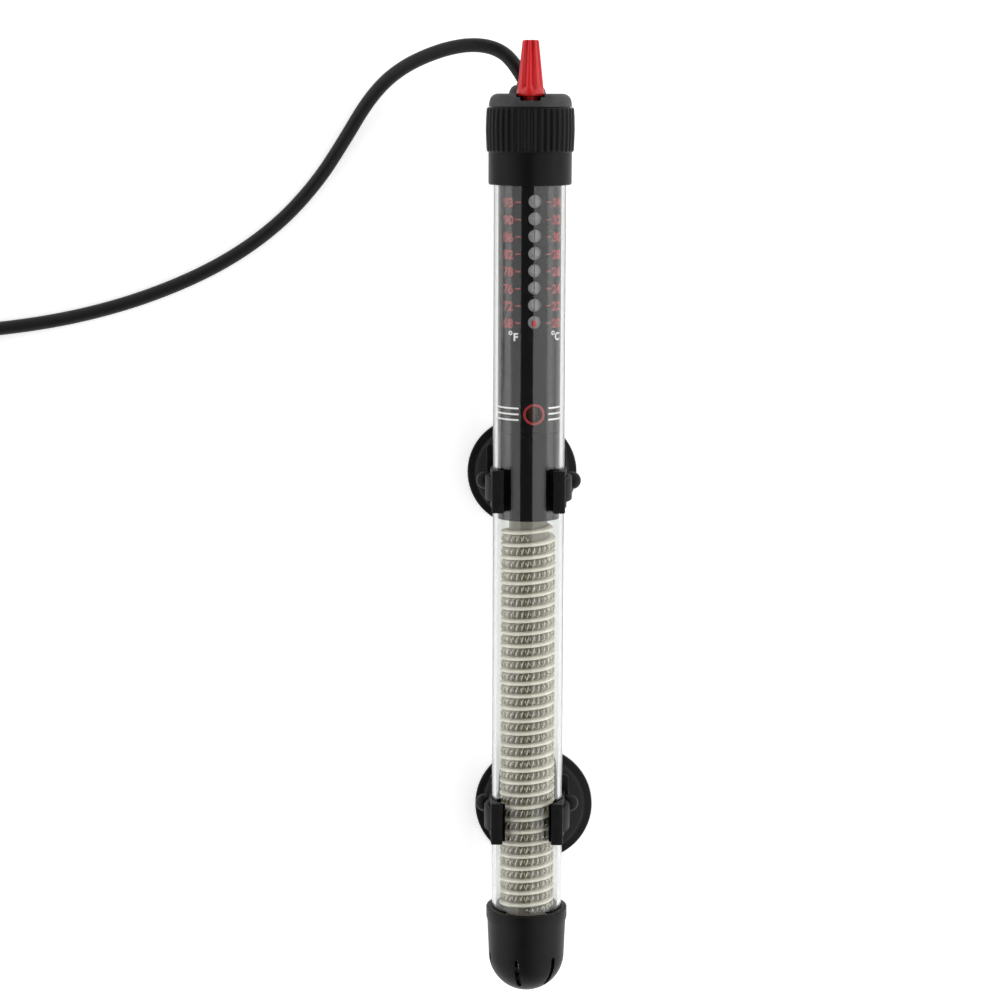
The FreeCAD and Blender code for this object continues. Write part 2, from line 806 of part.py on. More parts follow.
def make_plug_blades():
    entry = tail_route[-1]
    start = entry.y - plug_relief_length - plug_body_length
    blades = []
    for side in (-0.5, 0.5):
        corner = Vector(
            entry.x + side * blade_spacing - blade_thickness / 2,
            start - blade_length,
            plug_axis_height - blade_width / 2,
        )
        blades.append(Part.makeBox(blade_thickness, blade_length, blade_width, corner))
    return Part.makeCompound(blades)


# ---------------------------------------------------------------- write one STEP per node
nodes = {
    "glass_tube": make_glass_tube(),
    "cap_body": make_cap_body(),
    "cap_collar": make_cap_collar(),
    "cap_gasket": make_gasket(),
    "tube_stopper": make_stopper(),
    "cord_strain_relief": make_strain_relief(),
    "temperature_knob": make_knob(),
    "knob_spindle": make_spindle(),
    "spindle_seal": make_spindle_seal(),
    "scale_sleeve": make_scale_sleeve(),
    "lower_sleeve": make_lower_sleeve(),
    "pointer_guide": make_pointer_guide(),
    "temperature_pointer": make_pointer(),
    "thermostat_board": make_board(),
    "bimetal_strip": make_bimetal(),
    "bimetal_post": make_bimetal_post(),
    "contact_points": make_contacts(),
    "snap_magnet": make_magnet(),
    "indicator_lamp": make_lamp(),
    "lamp_cradle": make_lamp_cradle(),
    "lamp_resistor": make_resistor(),
    "lead_wires": make_lead_wires(),
    "heat_shield": make_heat_shield(),
    "ceramic_former": make_ceramic(),
    "heating_coil": make_heating_coil(),
    "coil_terminals": make_terminals(),
    "end_spacer": make_end_spacer(),
    "bottom_cap": make_bottom_cap(),
    "tube_cushion": make_cushion(),
    "cord_run": tube_along(cord_route, cord_radius, "cord_run"),
    "cord_coil": make_cord_coil(),
    "cord_tail": tube_along(tail_route, cord_radius, "cord_tail"),
    "cord_tie": make_cord_tie(),
    "plug_body": make_plug_body(),
    "plug_blades": make_plug_blades(),
}
for place, station in holder_stations.items():
    turn = holder_turns[place]
    nodes["clip_liner_" + place] = make_liner(station)
    nodes["tube_clip_" + place] = make_clip(station)
    nodes["clip_pin_" + place] = make_pin(station)
    nodes["cup_carrier_" + place] = make_cup_carrier(station, turn)
    nodes["suction_cup_" + place] = make_suction_cup(station, turn, cup_radii[place], cup_reaches[place])

wound_length = coil_turn_count * math.pi * sum(turn_radii)
free_length = (nodes["cord_run"].Volume + nodes["cord_tail"].Volume) / (math.pi * cord_radius ** 2)
print("whole cord %.0f mm, of which %.0f mm is wound" % (free_length + wound_length, wound_length))

os.makedirs("parts", exist_ok=True)
for name, shape in nodes.items():
    shape.exportStep("parts/" + name + ".step")
    if not shape.isValid():
        print("not valid:", name)
print(len(nodes), "nodes written")
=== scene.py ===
import math

import bmesh
import bpy
from mathutils import Matrix, Vector


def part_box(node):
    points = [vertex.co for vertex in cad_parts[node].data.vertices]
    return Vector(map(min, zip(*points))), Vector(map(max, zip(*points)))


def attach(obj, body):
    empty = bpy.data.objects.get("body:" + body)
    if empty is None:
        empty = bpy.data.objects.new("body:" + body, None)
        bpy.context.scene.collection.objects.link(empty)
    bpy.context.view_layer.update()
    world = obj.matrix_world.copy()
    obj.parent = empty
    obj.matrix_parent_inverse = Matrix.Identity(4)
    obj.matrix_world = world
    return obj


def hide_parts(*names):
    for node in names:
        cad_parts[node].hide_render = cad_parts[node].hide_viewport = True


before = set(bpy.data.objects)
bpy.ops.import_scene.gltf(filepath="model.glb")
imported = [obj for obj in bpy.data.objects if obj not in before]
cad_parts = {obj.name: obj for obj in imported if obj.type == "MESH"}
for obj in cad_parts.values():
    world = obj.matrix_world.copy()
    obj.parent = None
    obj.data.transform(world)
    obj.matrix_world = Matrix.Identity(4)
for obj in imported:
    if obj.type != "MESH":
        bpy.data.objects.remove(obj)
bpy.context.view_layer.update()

# Lengths below are millimetres, turned into metres where a mesh or a point is made.
# A station is a distance down the heater from the cap's flat top.
MM = 0.001
glass_low, glass_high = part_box("glass_tube")
AXIS = (glass_low.z + glass_high.z) / 2 / MM      # height of the tube's axis
KNOB_LENGTH = 17.2
CAP_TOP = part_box("temperature_knob")[1].y / MM - KNOB_LENGTH
X, Y, Z = Vector((1, 0, 0)), Vector((0, 1, 0)), Vector((0, 0, 1))


def at(station, side=0.0, rise=0.0):
    """Point on the heater: its station, offset to the side, offset above the axis."""
    return Vector((side, CAP_TOP - station, AXIS + rise))


# ---------------------------------------------------------------- materials
class Nodes:
    """Small helper that adds and wires a material's shader nodes."""

    def __init__(self, material):
        material.use_nodes = True
        self.material = material
        self.tree = material.node_tree
        self.shader = self.tree.nodes["Principled BSDF"]
        self.output = self.tree.nodes["Material Output"]

    def add(self, kind, **values):
        node = self.tree.nodes.new(kind)
        for key, value in values.items():
            if key in node.inputs.keys():
                node.inputs[key].default_value = value
            else:
                setattr(node, key, value)
        return node

    def link(self, source, target):
        self.tree.links.new(source, target)

    def settle(self, **values):
        """Set the shader's own sockets; an underscore in a name stands for a space."""
        for key, value in values.items():
            self.shader.inputs[key.replace("_", " ")].default_value = value

    def coordinates(self):
        return self.add("ShaderNodeTexCoord").outputs["Object"]

    def noise(self, scale, detail):
        """Noise of a scale in features per millimetre."""
        mapping = self.add("ShaderNodeMapping")
        mapping.inputs["Scale"].default_value = [scale / MM] * 3
        self.link(self.coordinates(), mapping.inputs["Vector"])
        noise = self.add("ShaderNodeTexNoise", Scale=1.0, Detail=detail)
        self.link(mapping.outputs["Vector"], noise.inputs["Vector"])
        return noise.outputs["Fac"]

    def between(self, factor, low, high, start=0.3, stop=0.7):
        """Low where the factor is at its start, high where it is at its stop."""
        node = self.add("ShaderNodeMapRange")
        for key, value in (("From Min", start), ("From Max", stop), ("To Min", low), ("To Max", high)):
            node.inputs[key].default_value = value
        self.link(factor, node.inputs["Value"])
        return node.outputs["Result"]

    def ramp(self, factor, stops):
        node = self.add("ShaderNodeValToRGB")
        for element, (position, colour) in zip(node.color_ramp.elements, stops):
            element.position = position
            element.color = (*colour, 1)
        self.link(factor, node.inputs["Fac"])
        return node.outputs["Color"]

    def bump(self, height, strength, depth):
        node = self.add("ShaderNodeBump", Strength=strength, Distance=depth * MM)
        self.link(height, node.inputs["Height"])
        self.link(node.outputs["Normal"], self.shader.inputs["Normal"])


def new_nodes(name):
    return Nodes(bpy.data.materials.new(name))


def surface(name, colour, rough, grain=2.0, spread=0.12, bump=0.1, depth=0.05):
    """Moulded, painted or drawn surface: mottled colour, uneven roughness and a fine grain."""
    nodes = new_nodes(name)
    fine = nodes.noise(grain, 4.0)
    broad = nodes.noise(grain / 12, 2.0)
    dark = [channel * (1 - spread) for channel in colour]
    light = [min(1.0, channel * (1 + spread)) for channel in colour]
    nodes.link(nodes.ramp(broad, [(0.3, dark), (0.7, light)]), nodes.shader.inputs["Base Color"])
    nodes.link(nodes.between(fine, *rough), nodes.shader.inputs["Roughness"])
    nodes.bump(fine, bump, depth)
    if name in SPECULAR:
        nodes.settle(Specular_IOR_Level=SPECULAR[name])
    if name in METALLIC:
        nodes.settle(Metallic=METALLIC[name])
    return nodes


def clear_glass():
    """Clear glass that lets light through to what is inside instead of shading it."""
    nodes = new_nodes("clear_glass")
    nodes.settle(Base_Color=(0.79, 0.8, 0.785, 1), Roughness=0.0, IOR=1.47, Specular_IOR_Level=0.3,
                 Transmission_Weight=1.0)
    clear = nodes.add("ShaderNodeBsdfTransparent")
    path = nodes.add("ShaderNodeLightPath")
    mix = nodes.add("ShaderNodeMixShader")
    nodes.link(path.outputs["Is Shadow Ray"], mix.inputs["Fac"])
    nodes.link(nodes.shader.outputs["BSDF"], mix.inputs[1])
    nodes.link(clear.outputs["BSDF"], mix.inputs[2])
    nodes.link(mix.outputs["Shader"], nodes.output.inputs["Surface"])
    return nodes


def ceramic():
    """Unglazed ceramic, with painted shade that greys it down in the grooves and fades out at the outer edge
    of its ribs.
    """
    nodes = surface("ivory_ceramic", (0.84, 0.81, 0.7), (0.5, 0.65), 2.5, 0.06)
    plain = nodes.shader.inputs["Base Color"].links[0].from_socket
    parts = nodes.add("ShaderNodeSeparateXYZ")
    nodes.link(nodes.coordinates(), parts.inputs["Vector"])
    height = nodes.add("ShaderNodeMath", operation="SUBTRACT")
    height.inputs[1].default_value = AXIS * MM
    nodes.link(parts.outputs["Z"], height.inputs[0])
    place = nodes.add("ShaderNodeCombineXYZ")
    nodes.link(parts.outputs["X"], place.inputs["X"])
    nodes.link(height.outputs["Value"], place.inputs["Y"])
    reach = nodes.add("ShaderNodeVectorMath", operation="LENGTH")
    nodes.link(place.outputs["Vector"], reach.inputs[0])
    # Painted shade: the colour goes towards a dark brown down in the grooves near the core, where the ribs
    # shade it, and fades out at the ribs' outer edge.
    groove_radius, rib_radius = 6.7 * MM, 8.4 * MM
    painted_groove_shade = nodes.between(reach.outputs["Value"], 0.72, 0.0, groove_radius, rib_radius)
    painted_shade_mix = nodes.add("ShaderNodeMix", data_type="RGBA")
    painted_shade_mix.inputs["B"].default_value = (0.1, 0.09, 0.07, 1)
    nodes.link(painted_groove_shade, painted_shade_mix.inputs["Factor"])
    nodes.link(plain, painted_shade_mix.inputs["A"])
    nodes.link(painted_shade_mix.outputs["Result"], nodes.shader.inputs["Base Color"])
    return nodes


# Colour, roughness from and to; then, where they aren't surface()'s own, its grain,
# the spread of its colour, and its bump's strength and depth.
FINISHES = {
    "black_plastic": ((0.005, 0.005, 0.0052), (0.34, 0.46), 5.0, 0.15),
    "black_collar": ((0.004, 0.004, 0.0045), (0.32, 0.42), 5.0, 0.15),
    # Cap: its matte grain is its own, but its paler base colour is painted light, for the light that the
    # cap's sloped shoulder catches.
    "black_cap_painted_light": ((0.036, 0.036, 0.037), (0.5, 0.66), 2.2, 0.3, 0.25, 0.06),
    "black_clip": ((0.009, 0.009, 0.009), (0.4, 0.52), 4.0, 0.15),
    "black_rubber": ((0.006, 0.006, 0.006), (0.5, 0.7), 3.0),
    "cup_rubber": ((0.005, 0.0048, 0.0046), (0.3, 0.4), 1.5),
    "red_plastic": ((0.6, 0.008, 0.012), (0.28, 0.36), 3.0, 0.05),
    "brass": ((0.62, 0.42, 0.16), (0.22, 0.34), 3.0),
    "printed_black": ((0.004, 0.004, 0.0045), (0.3, 0.34), 0.6, 0.1, 0.0, 0.01),
    "grey_plastic": ((0.39, 0.38, 0.4), (0.4, 0.55), 9.0, 0.2),
    "fibre_board": ((0.11, 0.16, 0.06), (0.4, 0.6), 1.2, 0.25),
    "bimetal": ((0.55, 0.5, 0.42), (0.25, 0.4)),
    "silver_contact": ((0.75, 0.75, 0.73), (0.2, 0.35)),
    "magnet_iron": ((0.09, 0.09, 0.1), (0.4, 0.6)),
    "lamp_glass": ((0.06, 0.03, 0.022), (0.05, 0.12), 1.0, 0.05),
    "resistor_body": ((0.5, 0.38, 0.22), (0.3, 0.5)),
    "wire_insulation": ((0.5, 0.49, 0.45), (0.4, 0.55)),
    "mica": ((0.42, 0.36, 0.26), (0.25, 0.5), 1.0, 0.2),
    "resistance_wire": ((0.74, 0.705, 0.61), (0.2, 0.28), 4.0, 0.12, 0.05, 0.02),
    "white_silicone": ((0.7, 0.7, 0.68), (0.4, 0.55), 2.0, 0.05),
    "cord_jacket": ((0.006, 0.006, 0.006), (0.38, 0.5), 3.0, 0.1),
    "plug_plastic": ((0.008, 0.008, 0.008), (0.38, 0.5), 3.0, 0.1),
    "plug_brass": ((0.68, 0.5, 0.22), (0.2, 0.32), 3.0),
    "print_red": ((0.36, 0.022, 0.025), (0.3, 0.42), 2.0, 0.08, 0.02, 0.01),
    "print_white": ((0.95, 0.95, 0.95), (0.26, 0.36), 2.0, 0.03, 0.02, 0.01),
}
SPECULAR = {
    "black_plastic": 0.12, "black_collar": 0.12, "black_cap_painted_light": 0.3, "black_clip": 0.06,
    "black_rubber": 0.2, "cup_rubber": 0.18, "red_plastic": 0.4, "printed_black": 0.07,
    "cord_jacket": 0.22, "plug_plastic": 0.3,
}
METALLIC = {
    "brass": 1.0, "bimetal": 1.0, "silver_contact": 1.0, "magnet_iron": 0.6,
    "resistance_wire": 1.0, "plug_brass": 1.0,
}
M = {name: surface(name, *values).material for name, values in FINISHES.items()}
M["clear_glass"] = clear_glass().material
M["ivory_ceramic"] = ceramic().material

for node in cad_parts.values():
    for material_slot in node.material_slots:
        material_slot.material = M[material_slot.material.name.split(".")[0]]


# ---------------------------------------------------------------- mesh helpers
SHARP_ANGLE = math.radians(32)      # edges sharper than this aren't smoothed
MERGE = 0.0005                      # corners closer than this are one


def keep(obj, finish, body, stands_for=()):
    """Give a new object its material and its body, and hide the CAD nodes that it stands for."""
    obj.data.materials.clear()
    obj.data.materials.append(M[finish])
    if not obj.users_collection:
        bpy.context.scene.collection.objects.link(obj)
    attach(obj, body)
    if stands_for:
        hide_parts(*stands_for)
    return obj


def mesh_from(name, built, sharp=True):
    """Shaded mesh from a bmesh, which goes."""
    mesh = bpy.data.meshes.new(name)
    built.to_mesh(mesh)
    built.free()
    mesh.shade_smooth()
    if sharp:
        mesh.set_sharp_from_angle(angle=SHARP_ANGLE)
    return mesh


def finished_mesh(name, built, merge=MERGE, sharp=True):
    """Mesh in metres from a bmesh in millimetres, with joined corners and outward faces."""
    bmesh.ops.remove_doubles(built, verts=built.verts, dist=merge)
    bmesh.ops.recalc_face_normals(built, faces=built.faces)
    bmesh.ops.scale(built, vec=(MM, MM, MM), verts=built.verts)
    return mesh_from(name, built, sharp)


def arc(along, radius, size, start, stop, steps=10):
    """Points of an arc in an outline of (along, radius), its angles from the along direction."""
    angles = [math.radians(start + (stop - start) * step / steps) for step in range(steps + 1)]
    return [(along + size * math.cos(angle), radius + size * math.sin(angle)) for angle in angles]


def circle(centre, radius, steps=40):
    return arc(*centre, radius, 0, 360 * (steps - 1) / steps, steps - 1)


def rounded_box(low, high, corner):
    """Outline of a rectangle with round corners."""
    points = []
    corners = ((high[0], high[1]), (low[0], high[1]), (low[0], low[1]), (high[0], low[1]))
    for index, (x, y) in enumerate(corners):
        centre_x = x - corner if x == high[0] else x + corner
        centre_y = y - corner if y == high[1] else y + corner
        points += arc(centre_x, centre_y, corner, 90 * index, 90 * index + 90, 5)
    return points


def softened(outline, size, closed):
    """Outline with its sharp corners rounded off."""
    nearly_straight = math.radians(22)
    steps = 3
    points = []
    for index, place in enumerate(outline):
        corner = Vector(place)
        into = Vector(outline[index - 1]) - corner
        out = Vector(outline[(index + 1) % len(outline)]) - corner
        at_end = not closed and index in (0, len(outline) - 1)
        if at_end or min(into.length, out.length) < 1e-6 or math.pi - into.angle(out) < nearly_straight:
            points.append(place)
            continue
        cut = min(size, 0.45 * into.length, 0.45 * out.length)
        start = corner + into.normalized() * cut
        stop = corner + out.normalized() * cut
        for step in range(steps + 1):
            t = step / steps
            points.append(tuple(start * (1 - t) ** 2 + corner * 2 * t * (1 - t) + stop * t * t))
    return points


def bridged(built, low, high):
    """Faces between two closed rows of points; a row of one point closes a tip."""
    count = max(len(low), len(high))
    for index in range(count if count > 1 else 0):
        following = (index + 1) % count
        if len(low) == 1:
            built.faces.new((low[0], high[following], high[index]))
        elif len(high) == 1:
            built.faces.new((low[index], low[following], high[0]))
        else:
            built.faces.new((low[index], low[following], high[following], high[index]))


def lathed(built, outline, origin, direction, front, closed=True, steps=96, wave=None):
    """Add a turned shape. An outline point is (along, radius); wave(angle, along, radius) may
    change a radius."""
    aside = direction.cross(front)
    rings = []
    for along, radius in outline:
        centre = origin + direction * along
        if radius < 1e-6:
            rings.append([built.verts.new(centre)])
            continue
        ring = []
        for step in range(steps):
            angle = 2 * math.pi * step / steps
            size = wave(angle, along, radius) if wave else radius
            ring.append(built.verts.new(centre + (front * math.cos(angle) + aside * math.sin(angle)) * size))
        rings.append(ring)
    pairs = list(zip(rings, rings[1:]))
    if closed:
        pairs.append((rings[-1], rings[0]))
    for low, high in pairs:
        bridged(built, low, high)


def turned(name, outline, origin, direction, front, soft=0.0, closed=True, **options):
    built = bmesh.new()
    if soft:
        outline = softened(outline, soft, closed)
    lathed(built, outline, origin, direction, front, closed, **options)
    return bpy.data.objects.new(name, finished_mesh(name, built))


def coaxial(name, outline, side=0.0, rise=0.0, **options):
    """Shape turned about the tube's direction; an outline point is (station, radius)."""
    return turned(name, outline, at(0, side, rise), -Y, Z, **options)


def evaluated(obj, name):
    """Mesh of an object as its curve settings and modifiers make it; the object itself goes."""
    if not obj.users_collection:
        bpy.context.scene.collection.objects.link(obj)
    bpy.context.view_layer.update()
    mesh = bpy.data.meshes.new_from_object(obj.evaluated_get(bpy.context.evaluated_depsgraph_get()))
    mesh.name = name
    bpy.data.objects.remove(obj)
    return mesh


def combined(base, tools, operation="DIFFERENCE"):
    """Cut the tools from the base, or join them to it."""
    for tool in tools:
        bpy.context.scene.collection.objects.link(tool)
        modifier = base.modifiers.new("with_tool", "BOOLEAN")
        modifier.operation = operation
        modifier.solver = "EXACT"
        modifier.object = tool
    name = base.name
    mesh = evaluated(base, name)
    for tool in tools:
        bpy.data.objects.remove(tool)
    built = bmesh.new()
    built.from_mesh(mesh)
    bpy.data.meshes.remove(mesh)
    bmesh.ops.remove_doubles(built, verts=built.verts, dist=MERGE * MM)
    return bpy.data.objects.new(name, mesh_from(name, built))


def slab(name, outlines, thickness, origin, right, up, edge=0.25):
    """Plate with rounded edges. Outlines are closed lists of (right, up); an inner one is a hole."""
    curve = bpy.data.curves.new(name, "CURVE")
    curve.dimensions = "2D"
    curve.fill_mode = "BOTH"
    curve.extrude = thickness / 2 - edge
    curve.bevel_depth = edge
    curve.bevel_resolution = 2
    curve.offset = -edge
    for outline in outlines:
        spline = curve.splines.new("POLY")
        spline.points.add(len(outline) - 1)
        for point, (x, y) in zip(spline.points, outline):
            point.co = (x, y, 0, 1)
        spline.use_cyclic_u = True
    mesh = evaluated(bpy.data.objects.new(name, curve), name)
    built = bmesh.new()
    built.from_mesh(mesh)
    bpy.data.meshes.remove(mesh)
    facing = Matrix((right, up, right.cross(up))).transposed().to_4x4()
    bmesh.ops.transform(built, matrix=Matrix.Translation(origin) @ facing, verts=built.verts)
    return bpy.data.objects.new(name, finished_mesh(name, built, 0.002))


def joined(name, objects):
    """One object from several separate solids."""
    built = bmesh.new()
    for obj in objects:
        built.from_mesh(obj.data)
        bpy.data.meshes.remove(obj.data)
    return bpy.data.objects.new(name, mesh_from(name, built))


def about_axis(degrees):
    """Turn about the tube's axis, in metres; a positive turn takes the front towards +X."""
    centre = Matrix.Translation((0, 0, AXIS * MM))
    return centre @ Matrix.Rotation(math.radians(degrees), 4, "Y") @ centre.inverted()


# ---------------------------------------------------------------- power cord
CORD_RADIUS = 2.35
cord_exit = Vector((-2.25, 149.015, 22.5))
OUTLET = Vector((-0.5, 0.8660, 0)).normalized()      # the way the cord leaves the cap
coil_centre = Vector((-224.0, 33.5, 0.0))
OUTER_TURN, INNER_TURN = 28.3, 23.6
LAYER = 4.55
run = [cord_exit, cord_exit + 6.8 * OUTLET, *map(Vector, (
    (-11.2, 159.1, 21.7), (-18.7, 160.4, 19.9), (-26.8, 159.3, 17.0), (-34.8, 156.7, 13.7),
    (-42.4, 153.1, 10.2), (-49.4, 147.9, 6.9), (-56.0, 140.1, 4.2), (-62.9, 128.7, 2.7),
    (-72.3, 114.3, CORD_RADIUS), (-86.2, 99.4, CORD_RADIUS), (-105.2, 86.2, CORD_RADIUS),
    (-129.0, 75.6, CORD_RADIUS), (-154.3, 68.2, CORD_RADIUS), (-181.0, 63.8, CORD_RADIUS),
    (-210.0, 61.8, CORD_RADIUS),
))]
PLUG_HEIGHT = 6.5
tail_start = coil_centre + Vector((-OUTER_TURN, -8.0, CORD_RADIUS + 3 * LAYER - 0.2))
plug_entry = Vector((tail_start.x + 1.0, tail_start.y - 54.0, PLUG_HEIGHT))
tail = [
    tail_start,
    tail_start + Vector((-0.6, -11.0, -1.2)),
    tail_start + Vector((-0.6, -22.0, -4.4)),
    tail_start + Vector((0.2, -33.0, -7.9)),
    plug_entry + Vector((0, 10.0, 0)),
    plug_entry,
]


def smoothstep(x):
    x = min(1.0, max(0.0, x))
    return x * x * (3 - 2 * x)


def coil_points():
    """Turns of the stored cord: out and in columns, four layers, one change of place per turn."""
    places = [(OUTER_TURN, 0), (INNER_TURN, 0), (INNER_TURN, 1), (OUTER_TURN, 1),
              (OUTER_TURN, 2), (INNER_TURN, 2), (INNER_TURN, 3), (OUTER_TURN, 3)]
    turns, points_per_turn = 7.25, 16
    # The curve runs inside its points, so they lie a little further out.
    widen = 1 / (0.75 + 0.25 * math.cos(2 * math.pi / points_per_turn))
    first_angle, first_move, between_moves, move_length = 90.0, 330.0, 335.0, 90.0
    points = []
    for index in range(int(turns * points_per_turn)):
        swept = first_angle + 360.0 * index / points_per_turn
        radius, layer = places[0]
        for number, (next_radius, next_layer) in enumerate(places[1:]):
            moved = smoothstep((swept - first_move - between_moves * number) / move_length)
            radius += moved * (next_radius - places[number][0])
            layer += moved * (next_layer - places[number][1])
        angle = math.radians(swept)
        offset = Vector((math.cos(angle), math.sin(angle), 0)) * radius * widen
        points.append(coil_centre + offset + Z * (CORD_RADIUS + LAYER * layer))
    return points


def make_cord():
    curve = bpy.data.curves.new("power_cord", "CURVE")
    curve.dimensions = "3D"
    route = run + coil_points() + tail
    spline = curve.splines.new("NURBS")
    spline.points.add(len(route) - 1)
    for point, place in zip(spline.points, route):
        point.co = (*(place * MM), 1)
    spline.order_u = 3
    spline.use_endpoint_u = True
    spline.resolution_u = 10
    curve.bevel_depth = CORD_RADIUS * MM
    curve.bevel_resolution = 6
    curve.use_fill_caps = True
    return bpy.data.objects.new("power_cord", curve)


cord = keep(make_cord(), "cord_jacket", "heater", ("cord_run", "cord_coil", "cord_tail"))


# ---------------------------------------------------------------- glass and what it holds
TUBE_RADIUS, TUBE_BORE = 12.0, 10.7
TUBE_TOP, TUBE_END = 8.2, 290.0                      # stations of the rim and of the dome's centre
PRINT_TURN = 9.3                                     # degrees that the print is turned about the axis
SLEEVE = 10.5                                        # radius of the printed sleeve
WINDOWS = [34.8 + 5.64 * index for index in range(8)]
LAMP = 104.7
SPINDLE_RISE = 6.2                                   # height of the knob and its spindle above the axis
BEARING = 1.56                                       # radius of the holes for the spindle and the pins
# Where the spindle is before the print's turn, as (side, rise)
spindle = (-SPINDLE_RISE * math.sin(math.radians(PRINT_TURN)),
           SPINDLE_RISE * math.cos(math.radians(PRINT_TURN)))
above_tube = at(0, 0, 9.0)                           # where tools that cut down from above are centred

glass_outside = [(TUBE_TOP, TUBE_BORE), (TUBE_TOP, TUBE_RADIUS), (TUBE_END, TUBE_RADIUS),
                 *arc(TUBE_END, 0, TUBE_RADIUS, 90, 4, 20)[1:], (TUBE_END + TUBE_RADIUS, 0)]
glass_inside = [(TUBE_END + TUBE_BORE, 0), *arc(TUBE_END, 0, TUBE_BORE, 4, 86, 18), (TUBE_END, TUBE_BORE),
                (TUBE_TOP, TUBE_BORE)]
glass_side = softened(glass_outside, 0.3, False) + glass_inside
keep(coaxial("glass_envelope", glass_side, closed=False, steps=128),
     "clear_glass", "heater", ("glass_tube",))

sleeve = coaxial("scale_tube", [(20.2, 9.95), (20.2, SLEEVE), (111.4, SLEEVE), (111.4, 9.95)],
                 soft=0.15, steps=160)
openings = []
for station, radius in [(station, 2.15) for station in WINDOWS] + [(LAMP, 2.6)]:
    opening = turned("opening", [(8.5, 0), (8.5, radius), (11.5, radius), (11.5, 0)], at(station), Z, X,
                     closed=False, steps=48)
    opening.data.transform(about_axis(PRINT_TURN))
    openings.append(opening)
keep(combined(sleeve, openings), "printed_black", "heater", ("scale_sleeve",))


def make_guide():
    """Pale curved strip behind the windows, with the fine slit that the pointer's stem runs in."""
    strip = coaxial("slotted_guide", [(24.0, 9.05), (24.0, 9.45), (88.0, 9.45), (88.0, 9.05)],
                    soft=0.1, steps=160)
    front = slab("front", [rounded_box((-4.3, -88.5), (4.3, -23.5), 0.3)], 8.0, above_tube, X, Y, 0.02)
    slit = slab("slit", [rounded_box((-0.14, -WINDOWS[-1] - 4), (0.14, -WINDOWS[0] + 5), 0.12)], 6.0,
                above_tube, X, Y, 0.02)
    strip = combined(combined(strip, [front], "INTERSECT"), [slit])
    walls = []
    for low, high, bore in ((22.6, 25.0, BEARING), (85.7, 89.0, 1.06)):
        outline = [(-3.6, -0.8), (3.6, -0.8), (3.6, 8.3), (-3.6, 8.3)]
        walls.append(slab("wall", [outline, circle(spindle, bore, 32)], high - low,
                          at((low + high) / 2), X, Z, 0.15))
    strip = joined("slotted_guide", [strip, *walls])
    strip.data.transform(about_axis(PRINT_TURN))
    return strip


def make_pointer():
    """Travelling nut with its thin stem and the red mark that shows in a window."""
    middle = WINDOWS[-1]
    block = [(-3.4, 4.2), (1.5, 4.2), (1.5, 7.75), (-3.4, 7.75)]
    nut = slab("red_pointer", [block, circle(spindle, BEARING, 32)], 5.0, at(middle), X, Z, 0.2)
    stem = slab("stem", [rounded_box((-0.1, 7.5), (0.1, 9.6), 0.05)], 2.6, at(middle), X, Z, 0.03)
    mark = slab("mark", [rounded_box((-0.7, -1.5), (0.7, 0.6), 0.6)], 0.26, at(middle, 0, 9.63), X, Y, 0.06)
    pointer = combined(nut, [stem, mark], "UNION")
    pointer.data.transform(about_axis(PRINT_TURN))
    return pointer


keep(make_guide(), "grey_plastic", "heater", ("pointer_guide",))
keep(make_pointer(), "red_plastic", "pointer", ("temperature_pointer",))


# Marks of the print are flat at first: x is the arc length from the middle of the print, y is minus
# the station, and z is the height above the sleeve.
INK = 0.06                                           # thickness of the print


def lettered(body, size, across, station, weight):
    """Flat raised lettering, centred on an arc length across the print and a station."""
    curve = bpy.data.curves.new("lettering", "FONT")
    curve.body = body
    curve.size = size
    curve.align_x = "CENTER"
    curve.align_y = "CENTER"
    curve.offset = weight
    curve.extrude = INK / 2
    curve.resolution_u = 4
    mesh = evaluated(bpy.data.objects.new("lettering", curve), "lettering")
    mesh.transform(Matrix.Translation((across, -station, 0)))
    return mesh


def bar(across_low, across_high, station, width):
    """Flat raised bar of the print, between two arc lengths."""
    built = bmesh.new()
    bmesh.ops.create_cube(built, size=1.0)
    bmesh.ops.scale(built, vec=(across_high - across_low, width, INK), verts=built.verts)
    bmesh.ops.translate(built, vec=((across_low + across_high) / 2, -station, 0), verts=built.verts)
    return mesh_from("bar", built)


def ring(across, station, inner, outer):
    """Flat raised ring of the print."""
    built = bmesh.new()
    lathed(built, [(-INK / 2, inner), (-INK / 2, outer), (INK / 2, outer), (INK / 2, inner)],
           Vector((across, -station, 0)), Z, X, steps=64)
    return mesh_from("ring", built)


def printed(name, finish, marks):
    """Wrap flat marks round the sleeve, cut into strips that are narrow enough to bend."""
    built = bmesh.new()
    for mark in marks:
        built.from_mesh(mark)
        bpy.data.meshes.remove(mark)
    bmesh.ops.remove_doubles(built, verts=built.verts, dist=0.001)
    low = min(vertex.co.x for vertex in built.verts)
    high = max(vertex.co.x for vertex in built.verts)
    strip_width = 0.4
    cut = math.floor(low / strip_width) * strip_width + strip_width
    while cut < high:
        geometry = built.verts[:] + built.edges[:] + built.faces[:]
        bmesh.ops.bisect_plane(built, geom=geometry, plane_co=(cut, 0, 0), plane_no=(1, 0, 0), dist=1e-5)
        cut += strip_width
    for vertex in built.verts:
        angle = vertex.co.x / SLEEVE + math.radians(PRINT_TURN)
        radius = SLEEVE + 0.02 + vertex.co.z
        vertex.co = at(-vertex.co.y, radius * math.sin(angle), radius * math.cos(angle))
    keep(bpy.data.objects.new(name, finished_mesh(name, built)), finish, "heater")


